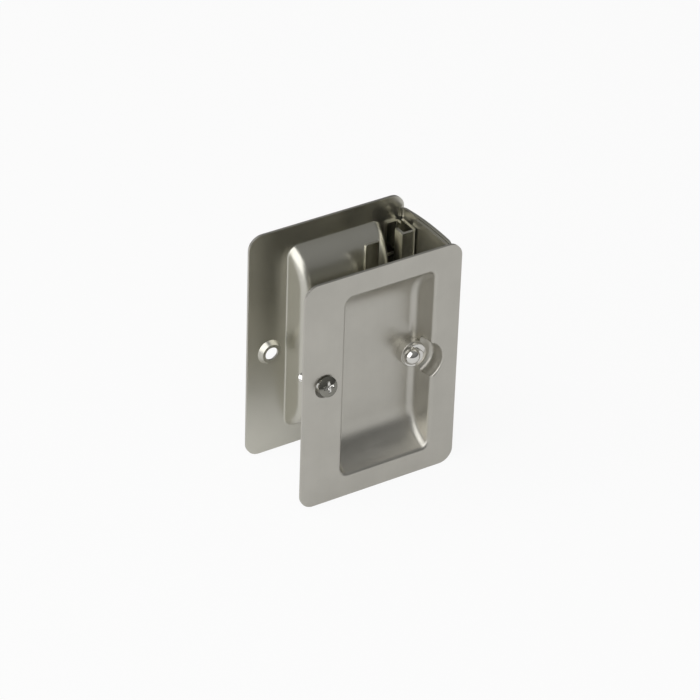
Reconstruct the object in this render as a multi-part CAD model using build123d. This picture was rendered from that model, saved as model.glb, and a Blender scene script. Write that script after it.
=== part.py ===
from build123d import *
from math import acos, cos, degrees, hypot, radians, sin, sqrt
import os

# Recessed privacy latch for a sliding pocket door, in millimetres.
# Two pull plates, stamped from the same tool, clip over the notched edge of the door.
# The near plate carries the thumb turn, and the far plate carries the hook bolt.
# X runs to the door's edge, Y from the near plate to the far plate, and Z up.
# Each piece is drawn about the middle of the latch and is lifted onto its bottom edges at the end.

# Stamped pull plate
plate_width = 57.15
plate_height = 82.55
plate_corner = 4.8
sheet = 0.9
outer_depth = 34.4

# Finger cup pressed into each plate
cup_margin = 9.5
cup_rim_width = 32.7
cup_rim_height = 66.8
cup_depth = 9.0
cup_side_run = 1.2
cup_end_run = 13.3
cup_bend = 2.5
cup_rim_bend = 1.5

# Round pocket for the turn, which cuts the door-edge side of the cup
pivot_setback = 12.5
pocket_radius = 7.0
pocket_depth = 6.0
pocket_rim_bend = 0.7
pocket_floor_bend = 1.6
boss_radius = 4.6
boss_bend = 0.4

# Dimpled hole for the wood screw
screw_hole_setback = 49.1
screw_hole_rise = 3.0
screw_hole_radius = 2.3
dimple_mouth_radius = 3.75
dimple_depth = 1.6
collar_radius = 3.3
collar_foot_radius = 4.3
collar_height = 1.5

# Wood screw, hanging loose in the near plate
screw_shank_radius = 1.75
screw_head_radius = 3.35
screw_cone_depth = 1.9
screw_dome = 0.9
screw_length = 19.0
screw_point = 3.5
screw_droop = 19.0
screw_grip = 3.45
cross_width = 0.85
cross_span = 3.6
cross_depth = 1.5

# Folded edge brackets that close the door-edge side
bracket_sheet = 0.9
bracket_bend = 0.6
layer_gap = 0.15
edge_top = 38.0
edge_arch_radius = 110.0
edge_crown_y = -3.5
edge_end_corner = 2.0
far_leg_end = -11.6
near_leg_end = 8.0
layer_reveal = 0.5
flange_reach = 6.6
flange_from = 9.6
flange_to = 20.0

# Latch case, a folded channel with a flat post on the other side of the pivot
case_sheet = 1.0
case_bend = 0.5
case_front_y = 5.0
case_right = 2.2
case_width = 5.5
case_lip = 4.4
case_side_top = 8.0
case_side_mid = 3.5
case_height = 34.2
case_foot_margin = 1.7
case_foot_length = 11.0
case_foot_reach = 4.6
case_post_width = 4.9
case_post_setback = 3.9
case_post_corner = 0.8
case_web_half = 8.0

# Spindles
journal_radius = 2.4
running_clearance = 0.05
square_size = 2.4
square_clearance = 0.06
sleeve_start = -6.6
bore_end = 8.4
flat_half_width = 2.05
head_radius = 4.2
head_height = 2.6
head_bend = 0.7
coin_slot_width = 1.4
coin_slot_depth = 1.3
spindle_end = 8.0
spindle_chamfer = 0.5
seat_gap = 0.1
seat_clearance = 0.03

# Hook bolt, drawn stowed
hook_thickness = 2.4
hook_eye_radius = 6.0
hook_reach = 23.6
hook_nose_width = 4.4
hook_nose_angle = 19.0
hook_arm_top = 2.6
hook_arm_bottom = 4.6
hook_corner = 1.0
hook_stow_angle = 84.0
hook_room = 1.0
washer_sheet = 0.4
washer_radius = 3.5

# Retaining clips
clip_sheet = 0.6
clip_radius = 3.4
clip_groove_depth = 0.4
clip_tooth_room = 0.4
clip_tooth_width = 1.4
clip_mouth = 2.8

# Thumb turn
turn_flange_radius = 4.25
turn_flange_height = 0.9
turn_hub_radius = 2.6
turn_hub_depth = 4.0
ball_radius = 2.85
ball_reach = 3.7
ball_depth = 2.95
lever_angle = 145.0
turn_bend = 0.4
turn_socket = 3.6
turn_tail_length = 2.2

# Places that follow from the sizes above
door_edge = plate_width / 2
half_height = plate_height / 2
near_face = -outer_depth / 2
far_face = outer_depth / 2
near_inside = near_face + sheet
far_inside = far_face - sheet
cup_x = door_edge - cup_margin - cup_rim_width / 2
cup_end_radius = (cup_depth ** 2 + cup_end_run ** 2) / (2 * cup_depth)
cup_floor_end = cup_rim_height / 2 - cup_end_run
pivot_x = door_edge - pivot_setback
screw_x = door_edge - screw_hole_setback
near_shelf_front = near_face + pocket_depth
near_shelf_back = near_shelf_front + sheet
far_shelf_front = far_face - pocket_depth
bearing_radius = journal_radius + running_clearance
case_back_y = case_front_y + case_sheet
case_foot_to = case_height - case_foot_margin
case_foot_from = case_foot_to - case_foot_length
case_left_x = door_edge - case_right - case_width
case_slot_width = case_left_x - pivot_x + case_post_setback
case_lip_from = case_web_half + case_slot_width / 2
hook_front_y = case_front_y - washer_sheet - seat_gap - hook_thickness
hook_back_y = hook_front_y + hook_thickness
hook_clip_y = hook_front_y - seat_gap - clip_sheet
turn_clip_y = near_shelf_back + seat_gap + washer_sheet + seat_gap
turn_tail = near_shelf_back + turn_tail_length
slot_reach = pivot_setback - 2 * bracket_sheet - layer_gap
slot_bottom = -sqrt(hook_reach ** 2 - slot_reach ** 2) - hook_room
slot_top = hook_arm_top + hook_room
slot_front_y = hook_front_y - hook_room
slot_back_y = hook_back_y + hook_room
stowed = -hook_stow_angle
level = sheet / 1000


def face_plane(y, x=0.0, z=0.0):
    """Plane parallel to the plates, with its first axis along X and its second along Z."""
    return Plane(origin=(x, y, z), x_dir=(1, 0, 0), z_dir=(0, -1, 0))


def slab(sketch, y_from, y_to, x=0.0, z=0.0):
    """Flat blank parallel to the plates between two depths."""
    return extrude(face_plane(y_from, x, z) * sketch, amount=y_to - y_from, dir=(0, 1, 0))


def turned(points_or_edges, x, z=0.0):
    """Body of revolution about an axis along Y, from a closed half section of radius and depth."""
    section = make_face(points_or_edges)
    return Pos(x, 0, z) * revolve(section, Axis.Y)


def rod(radius, y_from, y_to, x=pivot_x, z=0.0):
    """Plain round bar along Y."""
    return slab(Circle(radius), y_from, y_to, x, z)


def block(x_span, y_span, z_span):
    """Box between two limits on each axis."""
    spans = (x_span, y_span, z_span)
    middle = [(low + high) / 2 for low, high in spans]
    size = [high - low for low, high in spans]
    return Pos(*middle) * Box(*size)


def end_edges(body, far):
    """Edges of the flat end of a body, on its far or its near side along Y."""
    return body.faces().sort_by(Axis.Y, reverse=far)[0].edges()


def cup_body(skin):
    """Cup behind the plate's face with scooped ends and steep sides, grown by the skin on every wall."""
    depth = cup_depth + skin
    radius = cup_end_radius + skin
    centre_y = cup_depth - cup_end_radius
    sweep = degrees(acos(-centre_y / radius))
    mouth_end = cup_floor_end + radius * sin(radians(sweep))
    profile = make_face([
        CenterArc((centre_y, cup_floor_end), radius, 0, sweep),
        Line((0, mouth_end), (0, -mouth_end)),
        CenterArc((centre_y, -cup_floor_end), radius, 0, -sweep),
        Line((depth, -cup_floor_end), (depth, cup_floor_end)),
    ])
    scoop = extrude(Plane.YZ * profile, amount=plate_width, both=True)
    mouth_half = cup_rim_width / 2 + skin * hypot(cup_side_run, cup_depth) / cup_depth
    floor_half = mouth_half - cup_side_run * depth / cup_depth
    plan = Polyline((cup_x - mouth_half, 0), (cup_x + mouth_half, 0), (cup_x + floor_half, depth),
                    (cup_x - floor_half, depth), close=True)
    body = scoop & extrude(make_face(plan), amount=plate_height, both=True)
    return fillet(body.edges().filter_by(along_cup_side), cup_bend + skin)


def along_cup_side(edge):
    """True for an edge where a side of the cup meets its floor or one of its scooped ends."""
    middle = edge.center()
    return middle.Y > level and abs(middle.X - cup_x) > cup_rim_width / 4


def pocket_body(skin):
    """Round pocket with a rounded floor, grown by the skin."""
    body = rod(pocket_radius + skin, 0, pocket_depth + skin)
    return fillet(end_edges(body, True), pocket_floor_bend + skin)


def pocket_mouth():
    """Rolled edge where the pocket meets the plate's face."""
    outer = pocket_radius + pocket_rim_bend
    middle = pocket_rim_bend * (1 - sqrt(0.5))
    outline = [
        Line((pocket_radius, 0), (outer, 0)),
        ThreePointArc((outer, 0), (pocket_radius + middle, middle), (pocket_radius, pocket_rim_bend)),
        Line((pocket_radius, pocket_rim_bend), (pocket_radius, 0)),
    ]
    return turned(outline, pivot_x)


def screw_collar():
    """Raised ring that the dimple leaves on the inside of the plate."""
    top = sheet + collar_height
    outline = [(0, 0), (collar_foot_radius, 0), (collar_foot_radius, sheet), (collar_radius, top), (0, top)]
    return turned(Polyline(*outline, close=True), screw_x, screw_hole_rise)


def screw_seat():
    """Countersunk seat and hole for the wood screw."""
    top = sheet + collar_height
    cone = [(0, 0), (dimple_mouth_radius, 0), (screw_hole_radius, dimple_depth)]
    hole = [(screw_hole_radius, top), (0, top)]
    return turned(Polyline(*cone, *hole, close=True), screw_x, screw_hole_rise)


def inside_outline(edge):
    """True for an edge that lies within the plate and not on its outline."""
    box = edge.bounding_box()
    reach_x = max(abs(box.min.X), abs(box.max.X))
    reach_z = max(abs(box.min.Z), abs(box.max.Z))
    return reach_x < door_edge - sheet and reach_z < half_height - sheet


def stamped_plate():
    """One pull plate with its face at Y = 0 and its cup pressed towards +Y."""
    cup_outside = cup_body(sheet)
    plate = slab(RectangleRounded(plate_width, plate_height, plate_corner), 0, sheet) + cup_outside
    heel = plate.edges().filter_by_position(Axis.Y, sheet - level, sheet + level).filter_by(inside_outline)
    plate = fillet(heel, cup_rim_bend - sheet)
    plate += pocket_body(sheet)
    boss = rod(boss_radius, pocket_depth, cup_depth + sheet)
    boss = fillet(end_edges(boss, False), boss_bend)
    plate -= cup_body(0) - boss
    rim = plate.edges().filter_by_position(Axis.Y, -level, level).filter_by(inside_outline)
    plate = fillet(rim, cup_rim_bend)
    plate -= pocket_body(0)
    plate -= pocket_mouth()
    plate -= rod(boss_radius - sheet, pocket_depth + sheet, cup_depth + 2 * sheet)
    plate -= rod(bearing_radius, pocket_depth - sheet, pocket_depth + 2 * sheet)
    plate += screw_collar()
    plate -= screw_seat()
    return plate


def arch_top(y):
    """Height of the edge brackets' arched top at a depth between the plates."""
    return edge_top - edge_arch_radius + sqrt(edge_arch_radius ** 2 - (y - edge_crown_y) ** 2)


def edge_bracket(plate_y, leg_end, edge_x, reveal, slot_y):
    """Folded angle: a leg across the door's edge and two flanges on the inside of a plate."""
    inward = 1 if leg_end > plate_y else -1
    inner_x = edge_x - bracket_sheet
    flange_x = edge_x - flange_reach
    flange_y = plate_y + inward * bracket_sheet
    plan = Polyline((flange_x, plate_y), (edge_x, plate_y), (edge_x, leg_end), (inner_x, leg_end),
                    (inner_x, flange_y), (flange_x, flange_y), close=True)
    blank = extrude(make_face(plan), amount=edge_top, both=True)
    for corner_x, bend in ((edge_x, bracket_bend + bracket_sheet), (inner_x, bracket_bend)):
        uprights = blank.edges().filter_by(Axis.Z)
        uprights = uprights.filter_by_position(Axis.X, corner_x - level, corner_x + level)
        blank = fillet(uprights.sort_by(Axis.Y, reverse=inward < 0)[0], bend)
    middle_y = (plate_y + leg_end) / 2
    top = [(y, arch_top(y) - reveal) for y in (plate_y, middle_y, leg_end)]
    bottom = [(y, -z) for y, z in top]
    side = make_face([
        ThreePointArc(*top),
        Line(top[2], bottom[2]),
        ThreePointArc(*bottom),
        Line(bottom[0], top[0]),
    ])
    free_corners = side.vertices().sort_by(Axis.X, reverse=inward > 0)[:2]
    side = fillet(free_corners, edge_end_corner)
    blank &= extrude(Plane.YZ * side, amount=plate_width, both=True)
    flange_end = inner_x - bracket_bend
    gaps = [(-edge_top, -flange_to), (-flange_from, flange_from), (flange_to, edge_top)]
    for low, high in gaps:
        blank -= block((flange_x, flange_end), sorted((plate_y, flange_y)), (low, high))
    return blank - block((inner_x, edge_x), slot_y, (slot_bottom, slot_top))


def case_web():
    """Flat blank of the case's web and post, with a round-ended slot above and below the pivot."""
    post_left = pivot_x - case_post_setback - case_post_width
    wall_middle = case_left_x + case_width / 2
    blank = Pos((post_left + wall_middle) / 2, 0) * Rectangle(wall_middle - post_left, 2 * case_height)
    blank = fillet(blank.vertices().sort_by(Axis.X)[:2], case_post_corner)
    slot_x = case_left_x - case_slot_width / 2
    for side in (-1, 1):
        slot_z = side * (case_lip_from + case_height) / 2
        blank -= Pos(slot_x, slot_z) * Rectangle(case_slot_width, case_height - case_lip_from)
        blank -= Pos(slot_x, side * case_lip_from) * Circle(case_slot_width / 2)
    return blank


def latch_case():
    """Folded channel that stands on the far plate, with a web and a post that carry the hook's spindle."""
    left_x = case_left_x + case_sheet / 2
    right_x = door_edge - case_right - case_sheet / 2
    front_y = case_front_y + case_sheet / 2
    foot_y = far_inside - case_sheet / 2
    lip_end = case_front_y + case_lip
    bend = case_bend + case_sheet / 2
    path = FilletPolyline((left_x, lip_end), (left_x, front_y), (right_x, front_y), (right_x, foot_y),
                          (right_x + case_sheet / 2 - case_foot_reach, foot_y), radius=bend)
    case = extrude(trace(path, case_sheet), amount=case_height, both=True)
    wall_x = (right_x - case_foot_reach, right_x + case_sheet / 2)
    lip_x = (left_x - case_sheet / 2, left_x + case_sheet / 2 + case_bend)
    case -= block(lip_x, (case_front_y, lip_end), (-case_lip_from, case_lip_from))
    case -= block(wall_x, (case_front_y + case_side_mid, far_inside), (-case_foot_from, case_foot_from))
    for low, high in ((-case_height, -case_foot_to), (case_foot_to, case_height)):
        case -= block(wall_x, (case_front_y + case_side_top, far_inside), (low, high))
    case += slab(case_web(), case_front_y, case_back_y)
    return case - rod(bearing_radius, case_front_y, case_back_y)


def flats(y_from, y_to, clearance, turn_angle):
    """Round bar with two flats, which keys the hook to its spindle."""
    radius = journal_radius + clearance
    width = 2 * (flat_half_width + clearance)
    key = Circle(radius) & Rectangle(2 * radius, width)
    return slab(Rot(0, 0, turn_angle) * key, y_from, y_to, pivot_x)


def clip_ring(y_from, turn_angle):
    """Spring clip with three teeth that sits in a groove."""
    groove_radius = journal_radius - clip_groove_depth + running_clearance
    ring_radius = journal_radius + clip_tooth_room
    ring = Circle(clip_radius) - Circle(ring_radius)
    for angle in (0, 90, 180):
        ring += Rot(0, 0, angle) * Pos(clip_radius / 2, 0) * Rectangle(clip_radius, clip_tooth_width)
    ring &= Circle(clip_radius)
    ring -= Circle(groove_radius)
    ring -= Pos(0, -clip_radius / 2) * Rectangle(clip_mouth, clip_radius)
    return slab(Rot(0, 0, turn_angle) * ring, y_from, y_from + clip_sheet, pivot_x)


def clip_groove(y_from):
    """Groove for a clip, cut round a journal."""
    ring = Circle(2 * journal_radius) - Circle(journal_radius - clip_groove_depth)
    return slab(ring, y_from - seat_gap / 2, y_from + clip_sheet + seat_gap / 2, pivot_x)


def release_spindle():
    """Sleeve that turns the hook, with a coin slot in the far pocket and a square bore."""
    head_seat = far_shelf_front + seat_gap
    head_front = head_seat + head_height
    head = rod(head_radius, head_seat, head_front)
    head = fillet(end_edges(head, True), head_bend)
    slot = Rot(0, 0, stowed) * Rectangle(2 * head_radius, coin_slot_width)
    head -= slab(slot, head_front - coin_slot_depth, head_front, pivot_x)
    spindle = head + rod(journal_radius, hook_back_y, head_seat)
    spindle += flats(sleeve_start, hook_back_y, 0, stowed)
    spindle -= clip_groove(hook_clip_y)
    bore = square_size + 2 * square_clearance
    return spindle - slab(Rot(0, 0, stowed) * Rectangle(bore, bore), sleeve_start, bore_end, pivot_x)


def on_circle(radius, height):
    """Point on the door-edge side of a circle about the pivot, at a height above it."""
    return (sqrt(radius ** 2 - height ** 2), height)


def polar(radius, angle):
    """Point at a radius and an angle from the pivot."""
    return (radius * cos(radians(angle)), radius * sin(radians(angle)))


def hook_bolt():
    """Flat hook that swings up through the edge and catches behind the strike."""
    nose_inside = hook_reach - hook_nose_width
    heel = on_circle(hook_reach, -hook_arm_bottom)
    tip_out = polar(hook_reach, hook_nose_angle)
    tip_in = polar(nose_inside, hook_nose_angle)
    throat = on_circle(nose_inside, hook_arm_top)
    nose_middle = on_circle(nose_inside, (tip_in[1] + hook_arm_top) / 2)
    neck_top = on_circle(hook_eye_radius, hook_arm_top)
    neck_bottom = on_circle(hook_eye_radius, -hook_arm_bottom)
    outline = make_face([
        ThreePointArc(heel, (hook_reach, 0), tip_out),
        Line(tip_out, tip_in),
        ThreePointArc(tip_in, nose_middle, throat),
        Line(throat, neck_top),
        ThreePointArc(neck_top, (-hook_eye_radius, 0), neck_bottom),
        Line(neck_bottom, heel),
    ])
    outline = fillet(outline.vertices(), hook_corner)
    blade = slab(Rot(0, 0, stowed) * outline, hook_front_y, hook_back_y, pivot_x)
    return blade - flats(hook_front_y, hook_back_y, seat_clearance, stowed)


def spring_washer(y_from):
    """Dished friction washer on a journal."""
    inner = journal_radius + seat_clearance
    rise = washer_sheet / 2
    inside = [(inner, y_from), (inner, y_from + rise)]
    rim = [(washer_radius, y_from + 2 * rise), (washer_radius, y_from + rise)]
    return turned(Polyline(*inside, *rim, close=True), pivot_x)


def square_bar(y_to):
    """Square stock from the bottom of the thumb turn's socket."""
    section = Rot(0, 0, stowed) * Rectangle(square_size, square_size)
    return slab(section, turn_tail - turn_socket, y_to, pivot_x)


def thumb_turn():
    """Cast hub and flange on a journal, with a ball to push beside the hub."""
    flange_back = near_shelf_front - seat_gap
    flange = rod(turn_flange_radius, flange_back - turn_flange_height, flange_back)
    flange = fillet(end_edges(flange, False), turn_bend)
    hub = rod(turn_hub_radius, near_face + turn_hub_depth, flange_back)
    hub = fillet(end_edges(hub, False), turn_bend)
    ball_x, ball_z = polar(ball_reach, lever_angle)
    ball = Pos(pivot_x + ball_x, near_face + ball_depth, ball_z) * Sphere(ball_radius)
    turn = flange + hub + rod(journal_radius, flange_back, turn_tail) + ball
    turn -= clip_groove(turn_clip_y)
    return turn - square_bar(turn_tail)


def turn_spindle():
    """Square bar staked into the thumb turn, which slides in the far half's sleeve."""
    bar = square_bar(spindle_end)
    return chamfer(end_edges(bar, True), spindle_chamfer)


def wood_screw():
    """Oval-head wood screw along +Y, with the rim of its head at Y = 0."""
    dome_radius = (screw_head_radius ** 2 + screw_dome ** 2) / (2 * screw_dome)
    shoulder = (screw_head_radius / 2, sqrt(dome_radius ** 2 - screw_head_radius ** 2 / 4))
    dome_mid = (shoulder[0], dome_radius - screw_dome - shoulder[1])
    tip = screw_length - screw_point
    outline = [
        ThreePointArc((0, -screw_dome), dome_mid, (screw_head_radius, 0)),
        Polyline((screw_head_radius, 0), (screw_shank_radius, screw_cone_depth), (screw_shank_radius, tip),
                 (0, screw_length), (0, -screw_dome)),
    ]
    screw = turned(outline, 0)
    for angle in (0, 90):
        cross = Rot(0, 0, angle) * Rectangle(cross_span, cross_width)
        screw -= slab(cross, -screw_dome, cross_depth - screw_dome)
    return screw


def hanging_screw():
    """The wood screw as it hangs in the near plate, with its point down and its head tilted."""
    grip_y = near_face + sheet + collar_height / 2
    hang = Pos(screw_x, grip_y, screw_hole_rise) * Rot(-screw_droop, 0, 0) * Pos(0, -screw_grip, 0)
    return hang * wood_screw()


def assemble():
    """Every piece by its name, about the middle of the latch."""
    plate = stamped_plate()
    near_edge_x = door_edge - bracket_sheet - layer_gap
    far_slot = (slot_front_y, slot_back_y)
    near_slot = (slot_front_y, near_leg_end)
    return {
        "rear_plate": Pos(0, far_face, 0) * Rot(180, 0, 0) * plate,
        "rear_edge_bracket": edge_bracket(far_inside, far_leg_end, door_edge, 0, far_slot),
        "latch_case": latch_case(),
        "front_plate": Pos(0, near_face, 0) * plate,
        "front_edge_bracket": edge_bracket(near_inside, near_leg_end, near_edge_x, layer_reveal, near_slot),
        "wood_screw": hanging_screw(),
        "hook_bolt": hook_bolt(),
        "release_spindle": release_spindle(),
        "hook_washer": spring_washer(hook_back_y),
        "hook_clip": clip_ring(hook_clip_y, stowed),
        "thumb_turn": thumb_turn(),
        "turn_spindle": turn_spindle(),
        "turn_washer": spring_washer(near_shelf_back + seat_gap),
        "turn_clip": clip_ring(turn_clip_y, 180),
    }


# The origin is at the bottom centre of the whole latch, whose loose screw stands proud of the near plate.
pieces = assemble()
screw_proud = near_face - pieces["wood_screw"].bounding_box().min.Y
placement = Pos(0, screw_proud / 2, half_height)
os.makedirs("parts", exist_ok=True)
for name, piece in pieces.items():
    export_step(placement * piece, f"parts/{name}.step")
print(f"screw stands {screw_proud:.2f} proud, pivot at x {pivot_x:.3f}, z {half_height:.3f}")
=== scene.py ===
import bmesh
import bpy
import math
from mathutils import Matrix, Vector
from mathutils.bvhtree import BVHTree


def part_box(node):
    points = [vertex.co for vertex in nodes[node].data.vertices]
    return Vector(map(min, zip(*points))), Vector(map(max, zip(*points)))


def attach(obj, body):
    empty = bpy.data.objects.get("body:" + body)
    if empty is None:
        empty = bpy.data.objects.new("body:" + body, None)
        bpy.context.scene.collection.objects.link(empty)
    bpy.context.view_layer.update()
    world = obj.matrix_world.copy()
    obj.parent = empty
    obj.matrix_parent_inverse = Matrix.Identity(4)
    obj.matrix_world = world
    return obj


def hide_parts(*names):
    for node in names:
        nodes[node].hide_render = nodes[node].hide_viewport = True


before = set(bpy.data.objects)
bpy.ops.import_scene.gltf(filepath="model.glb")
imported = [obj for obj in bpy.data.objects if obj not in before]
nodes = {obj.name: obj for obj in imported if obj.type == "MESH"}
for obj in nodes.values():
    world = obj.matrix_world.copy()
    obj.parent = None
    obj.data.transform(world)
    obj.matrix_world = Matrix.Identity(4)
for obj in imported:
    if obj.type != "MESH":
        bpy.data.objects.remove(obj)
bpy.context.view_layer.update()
MM = 0.001

# Middle between the two plates, from which the camera and the screw are placed
plate_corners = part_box("front_plate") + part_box("rear_plate")
MIDDLE = Vector((0, sum(corner.y for corner in plate_corners) / len(plate_corners), 0))

# Camera, from the fit to the photograph's plate corners
CAMERA_AZIMUTH = math.radians(-33.087)
CAMERA_ELEVATION = math.radians(33.401)
CAMERA_ROLL = math.radians(1.943)
CAMERA_DISTANCE = 1147.5 * MM
CAMERA_LENS = 186.675
CAMERA_SENSOR = 36.0
CAMERA_NEAREST = 10.0 * MM
CAMERA_TARGET = Vector((-0.681, 0.0, 41.815)) * MM

# Surfaces: noise behind the colour, gloss and grain of the metals, and the sharpest smooth edge
NOISE_ROUGHNESS = 0.6
CLOUD_DETAIL = 3.0
GRAIN_DETAIL = 2.0
TONE_STOPS = (0.3, 0.7)
GLOSS_CLOUD_SHARE = 0.5
GLOSS_NOISE = (0.35, 0.65)
GRAIN_BUMP = 0.35
GRAIN_HEIGHT = 0.0004 * MM
EVEN = (1, 1, 1)
FINE_GRAIN = 500.0
BRUSHED = (300, 300, 6)
BRUSHED_GRAIN = 6.0
BRUSHED_ANISOTROPY = 0.3
SHARP_ANGLE = math.radians(32)

# Lift off a face before looking out from it, so that the look doesn't end on the face itself
LOOK_OUT = 0.05 * MM

# Wood screw, along its own axis from the rim of its head to its point
SCREW_RIM = MIDDLE + Vector((-20.525, -18.812, 45.398)) * MM
SCREW_DROOP = math.radians(19.0)
SCREW_AXIS = Vector((0, math.cos(SCREW_DROOP), -math.sin(SCREW_DROOP)))
SCREW_CONE = 1.9 * MM
SCREW_LENGTH = 19.0 * MM
SCREW_POINT = 3.5 * MM
SCREW_BLUNT = 0.1 * MM
SCREW_RADIUS = 1.75 * MM
SCREW_WELD = 0.001 * MM
SHANK_MARGIN = 0.05 * MM
SHANK_SINK = 0.3 * MM
THREAD_ROOT_SHARE = 0.68
THREAD_FLANK_SHARE = 0.3
THREAD_PITCH = 1.4 * MM
THREAD_START = 6.5 * MM
THREAD_SEGMENTS = 40
THREAD_ROWS = 150
# Cross recess in the head: inside this radius and past this depth the head is painted bright as a
# highlight
CROSS_RADIUS = 1.9 * MM
CROSS_TOP = -0.5 * MM

# Floor: its own finish, and the share of plain white that the camera and mirrored rays see
FLOOR_REACH = 4.0
FLOOR_COLOUR = (0.82, 0.82, 0.82, 1)
FLOOR_ROUGHNESS = 0.9
FLOOR_WHITE_SEEN = 0.92
FLOOR_WHITE_MIRRORED = 0.30

# World and lamp
WORLD_HORIZON = (0.12, 0.12, 0.118, 1)
WORLD_OVERHEAD = (0.25, 0.25, 0.245, 1)
WORLD_OVERHEAD_HEIGHT = 0.75
LAMP_PLACE = Vector((-1.15, -0.30, 1.0))
LAMP_AIM = Vector((-0.25, -0.2, 0.0))
LAMP_SIZE = 2.4
LAMP_POWER = 30


def new_material(name):
    """Node material with its tree and its principled shader."""
    material = bpy.data.materials.new(name)
    material.use_nodes = True
    shader = material.node_tree.nodes["Principled BSDF"]
    return material, material.node_tree, shader


def add(tree, kind, **inputs):
    """Adds a node and sets its named inputs."""
    node = tree.nodes.new(kind)
    for name, value in inputs.items():
        node.inputs[name.replace("_", " ")].default_value = value
    return node


def calculate(tree, operation, *values):
    """Output of a math node that works on numbers and on the outputs of other nodes."""
    node = tree.nodes.new("ShaderNodeMath")
    node.operation = operation
    for socket, value in zip(node.inputs, values):
        if isinstance(value, bpy.types.NodeSocket):
            tree.links.new(value, socket)
        else:
            socket.default_value = value
    return node.outputs["Value"]


def stretched_noise(tree, stretch, scale, detail):
    """Noise in the object's own coordinates, stretched along chosen axes."""
    coords = tree.nodes.new("ShaderNodeTexCoord")
    mapping = add(tree, "ShaderNodeMapping", Scale=stretch)
    tree.links.new(coords.outputs["Object"], mapping.inputs["Vector"])
    noise = add(tree, "ShaderNodeTexNoise", Scale=scale, Detail=detail, Roughness=NOISE_ROUGHNESS)
    tree.links.new(mapping.outputs["Vector"], noise.inputs["Vector"])
    return noise.outputs["Fac"]


def span(tree, source, source_range, result_range):
    """Maps a range of a noise value to a range of results."""
    node = add(
        tree,
        "ShaderNodeMapRange",
        From_Min=source_range[0],
        From_Max=source_range[1],
        To_Min=result_range[0],
        To_Max=result_range[1],
    )
    tree.links.new(source, node.inputs["Value"])
    return node.outputs["Result"]


def ramp_colour(tree, source, stops, colours):
    """Colour between two tones, by a value."""
    ramp = tree.nodes.new("ShaderNodeValToRGB")
    for element, stop, colour in zip(ramp.color_ramp.elements, stops, colours):
        element.position = stop
        element.color = colour
    tree.links.new(source, ramp.inputs["Fac"])
    return ramp.outputs["Color"]


def metal(name, dark, light, rough, cloud_scale, stretch=EVEN, grain_scale=FINE_GRAIN, anisotropy=0.0):
    """Plated metal: cloudy colour and gloss, and a fine grain in its surface."""
    material, tree, shader = new_material(name)
    shader.inputs["Metallic"].default_value = 1.0
    shader.inputs["Anisotropic"].default_value = anisotropy
    cloud = stretched_noise(tree, EVEN, cloud_scale, CLOUD_DETAIL)
    grain = stretched_noise(tree, stretch, grain_scale, GRAIN_DETAIL)
    colour = ramp_colour(tree, cloud, TONE_STOPS, ((*dark, 1), (*light, 1)))
    tree.links.new(colour, shader.inputs["Base Color"])
    clouded = calculate(tree, "MULTIPLY", cloud, GLOSS_CLOUD_SHARE)
    mixed = calculate(tree, "MULTIPLY_ADD", grain, 1 - GLOSS_CLOUD_SHARE, clouded)
    tree.links.new(span(tree, mixed, GLOSS_NOISE, rough), shader.inputs["Roughness"])
    bump = add(tree, "ShaderNodeBump", Strength=GRAIN_BUMP, Distance=GRAIN_HEIGHT)
    tree.links.new(grain, bump.inputs["Height"])
    tree.links.new(bump.outputs["Normal"], shader.inputs["Normal"])
    return material


def dress_plate(node, outward, outside, inside):
    """Brushed finish on the faces that look out of a plate and plain plating on those behind its sheet."""
    mesh = node.data
    mesh.materials.clear()
    mesh.materials.append(outside)
    mesh.materials.append(inside)
    corners = [vertex.co for vertex in mesh.vertices]
    sheet = BVHTree.FromPolygons(corners, [face.vertices for face in mesh.polygons])
    for face in mesh.polygons:
        hit = sheet.ray_cast(face.center + face.normal * LOOK_OUT, outward)[0]
        face.material_index = 0 if hit is None else 1


def dress(names, material):
    """One material on several CAD nodes."""
    for name in names:
        mesh = nodes[name].data
        mesh.materials.clear()
        mesh.materials.append(material)


def thread_radius(along, turn):
    """Radius of the wood screw at a distance along its axis and a share of a turn."""
    taper = min(1.0, (SCREW_LENGTH - along) / SCREW_POINT)
    phase = (along / THREAD_PITCH - turn) % 1.0
    crest = max(0.0, 1.0 - abs(phase - 0.5) / THREAD_FLANK_SHARE)
    threaded = min(1.0, max(0.0, (along - THREAD_START) / THREAD_PITCH))
    root = 1.0 - (1.0 - THREAD_ROOT_SHARE) * threaded
    return SCREW_RADIUS * taper * (root + (1.0 - root) * crest)


def on_shank(face):
    """Whether a face of the CAD screw reaches past the cone of its head."""
    reach = max((vertex.co - SCREW_RIM).dot(SCREW_AXIS) for vertex in face.verts)
    return reach > SCREW_CONE + SHANK_MARGIN


def thread_ring(shape, along):
    """Ring of vertices round the screw's axis, at a distance along it."""
    side = Vector((1, 0, 0))
    across = SCREW_AXIS.cross(side)
    centre = SCREW_RIM + SCREW_AXIS * along
    ring = []
    for step in range(THREAD_SEGMENTS):
        turn = step / THREAD_SEGMENTS
        angle = 2 * math.pi * turn
        outward = math.cos(angle) * side + math.sin(angle) * across
        ring.append(shape.verts.new(centre + thread_radius(along, turn) * outward))
    return ring


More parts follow.
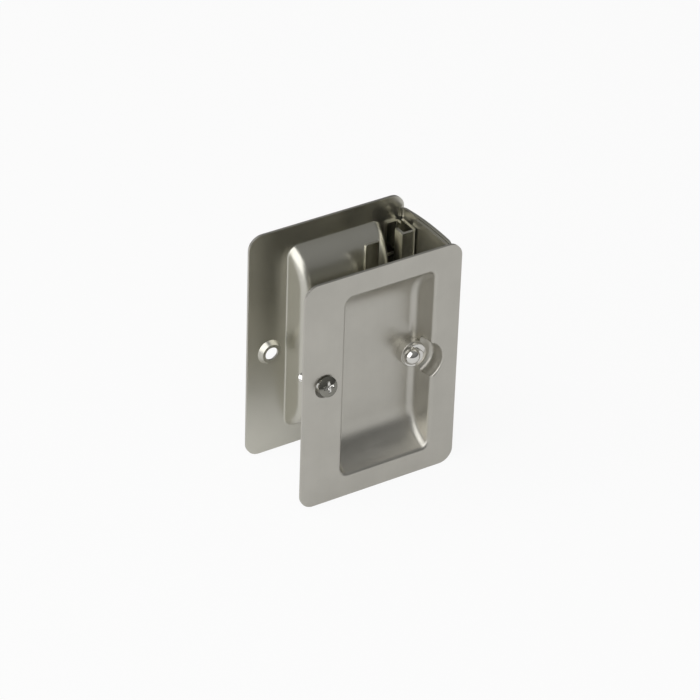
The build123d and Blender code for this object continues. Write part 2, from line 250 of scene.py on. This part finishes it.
def threaded_screw():
    """The wood screw with the CAD node's head and a cut thread on its shank."""
    shape = bmesh.new()
    shape.from_mesh(nodes["wood_screw"].data)
    bmesh.ops.remove_doubles(shape, verts=shape.verts, dist=SCREW_WELD)
    bmesh.ops.delete(shape, geom=[face for face in shape.faces if on_shank(face)], context="FACES")
    bmesh.ops.holes_fill(shape, edges=[edge for edge in shape.edges if edge.is_boundary], sides=0)
    start = SCREW_CONE - SHANK_SINK
    end = SCREW_LENGTH - SCREW_BLUNT
    rings = []
    for row in range(THREAD_ROWS + 1):
        rings.append(thread_ring(shape, start + (end - start) * row / THREAD_ROWS))
    for lower, upper in zip(rings, rings[1:]):
        for step in range(THREAD_SEGMENTS):
            following = (step + 1) % THREAD_SEGMENTS
            shape.faces.new((lower[step], upper[step], upper[following], lower[following]))
    shape.faces.new(rings[0])
    shape.faces.new(rings[-1][::-1])
    bmesh.ops.recalc_face_normals(shape, faces=shape.faces)
    mesh = bpy.data.meshes.new("threaded_wood_screw")
    shape.to_mesh(mesh)
    shape.free()
    screw = bpy.data.objects.new("threaded_wood_screw", mesh)
    bpy.context.scene.collection.objects.link(screw)
    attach(screw, "front_half")
    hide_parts("wood_screw")
    return screw


def dress_screw(screw, head, bare_metal_and_painted_highlight):
    """Painted dark reflection on the screw's head, as a dark steel; bright metal on its shank, and in its
    cross, where the brightness is a painted highlight.
    """
    screw.data.materials.append(head)
    screw.data.materials.append(bare_metal_and_painted_highlight)
    # Faces past the top of the cross and inside its radius take the bright metal: bare metal on the shank,
    # a painted highlight in the cross recess; the rest of the head takes the painted dark reflection
    for face in screw.data.polygons:
        reach = face.center - SCREW_RIM
        along = reach.dot(SCREW_AXIS)
        off_axis = (reach - along * SCREW_AXIS).length
        face.material_index = 1 if along > CROSS_TOP and off_axis < CROSS_RADIUS else 0


# Finishes
satin = metal(
    "satin_nickel",
    dark=(0.535, 0.520, 0.474),
    light=(0.595, 0.578, 0.528),
    rough=(0.33, 0.42),
    cloud_scale=60,
    stretch=BRUSHED,
    grain_scale=BRUSHED_GRAIN,
    anisotropy=BRUSHED_ANISOTROPY,
)
plated = metal(
    "plated_inside",
    dark=(0.60, 0.588, 0.526),
    light=(0.63, 0.618, 0.556),
    rough=(0.285, 0.33),
    cloud_scale=45,
)
bright = metal(
    "bright_nickel",
    dark=(0.74, 0.73, 0.70),
    light=(0.80, 0.79, 0.76),
    rough=(0.08, 0.14),
    cloud_scale=150,
)
# Dark steel for the screw's head, which paints a dark reflection into its colour
steel = metal(
    "screw_head_painted_dark",
    dark=(0.24, 0.235, 0.205),
    light=(0.30, 0.295, 0.26),
    rough=(0.12, 0.20),
    cloud_scale=200,
)
zinc = metal(
    "zinc_steel",
    dark=(0.62, 0.605, 0.52),
    light=(0.68, 0.665, 0.58),
    rough=(0.16, 0.24),
    cloud_scale=120,
)
spring = metal(
    "spring_steel",
    dark=(0.36, 0.36, 0.36),
    light=(0.44, 0.44, 0.44),
    rough=(0.22, 0.34),
    cloud_scale=150,
)

dress_plate(nodes["front_plate"], Vector((0, -1, 0)), satin, plated)
dress_plate(nodes["rear_plate"], Vector((0, 1, 0)), satin, plated)
dress(("rear_edge_bracket", "front_edge_bracket"), plated)
dress(("thumb_turn", "wood_screw", "release_spindle"), bright)
dress(("latch_case", "hook_bolt", "turn_spindle"), zinc)
dress(("hook_washer", "hook_clip", "turn_washer", "turn_clip"), spring)

screw = threaded_screw()
# The screw's head gets a painted dark reflection, and its cross a painted highlight in bright nickel
dress_screw(screw, steel, bright)

# Smooth shading that keeps the folded and cut edges crisp
for piece in (*nodes.values(), screw):
    piece.data.shade_smooth()
    piece.data.set_sharp_from_angle(angle=SHARP_ANGLE)

# Floor, which the camera sees as nearly white with a soft shadow
floor_corners = [(x * FLOOR_REACH, y * FLOOR_REACH, 0) for x, y in ((-1, -1), (1, -1), (1, 1), (-1, 1))]
floor_mesh = bpy.data.meshes.new("floor")
floor_mesh.from_pydata(floor_corners, [], [(0, 1, 2, 3)])
floor = bpy.data.objects.new("floor", floor_mesh)
bpy.context.scene.collection.objects.link(floor)
pale, tree, shader = new_material("pale_floor")
shader.inputs["Base Color"].default_value = FLOOR_COLOUR
shader.inputs["Roughness"].default_value = FLOOR_ROUGHNESS
white = add(tree, "ShaderNodeEmission", Strength=1.0)
rays = tree.nodes.new("ShaderNodeLightPath")
mirrored = calculate(tree, "MAXIMUM", rays.outputs["Is Glossy Ray"], rays.outputs["Is Transmission Ray"])
shown = calculate(tree, "MULTIPLY", mirrored, FLOOR_WHITE_MIRRORED)
share = calculate(tree, "MULTIPLY_ADD", rays.outputs["Is Camera Ray"], FLOOR_WHITE_SEEN, shown)
mix = tree.nodes.new("ShaderNodeMixShader")
for socket, source in zip(mix.inputs, (share, shader.outputs["BSDF"], white.outputs["Emission"])):
    tree.links.new(source, socket)
tree.links.new(mix.outputs["Shader"], tree.nodes["Material Output"].inputs["Surface"])
floor_mesh.materials.append(pale)

# World: a plain studio that is darker at the horizon than overhead
world = bpy.data.worlds.new("studio")
bpy.context.scene.world = world
world.use_nodes = True
tree = world.node_tree
coords = tree.nodes.new("ShaderNodeTexCoord")
split = tree.nodes.new("ShaderNodeSeparateXYZ")
tree.links.new(coords.outputs["Generated"], split.inputs["Vector"])
sky = ramp_colour(tree, split.outputs["Z"], (0.0, WORLD_OVERHEAD_HEIGHT), (WORLD_HORIZON, WORLD_OVERHEAD))
tree.links.new(sky, tree.nodes["Background"].inputs["Color"])

# Lamp: a soft key on the left, which also lights the floor there
lamp = bpy.data.lights.new("key", "AREA")
lamp.size = LAMP_SIZE
lamp.energy = LAMP_POWER
lamp_holder = bpy.data.objects.new("key", lamp)
bpy.context.scene.collection.objects.link(lamp_holder)
lamp_holder.location = LAMP_PLACE
lamp_holder.rotation_euler = (LAMP_AIM - LAMP_PLACE).to_track_quat("-Z", "Y").to_euler()

# Camera
level = math.cos(CAMERA_ELEVATION)
back = Vector((
    math.sin(CAMERA_AZIMUTH) * level,
    -math.cos(CAMERA_AZIMUTH) * level,
    math.sin(CAMERA_ELEVATION),
))
level_right = Vector((math.cos(CAMERA_AZIMUTH), math.sin(CAMERA_AZIMUTH), 0))
level_up = back.cross(level_right)
right = math.cos(CAMERA_ROLL) * level_right + math.sin(CAMERA_ROLL) * level_up
up = math.cos(CAMERA_ROLL) * level_up - math.sin(CAMERA_ROLL) * level_right
lens = bpy.data.cameras.new("camera")
lens.lens = CAMERA_LENS
lens.sensor_width = CAMERA_SENSOR
lens.clip_start = CAMERA_NEAREST
camera = bpy.data.objects.new("camera", lens)
bpy.context.scene.collection.objects.link(camera)
camera_place = Matrix.Translation(MIDDLE + CAMERA_TARGET + back * CAMERA_DISTANCE)
camera.matrix_world = camera_place @ Matrix((right, up, back)).transposed().to_4x4()
bpy.context.scene.camera = camera
bpy.context.scene.view_settings.view_transform = "Standard"
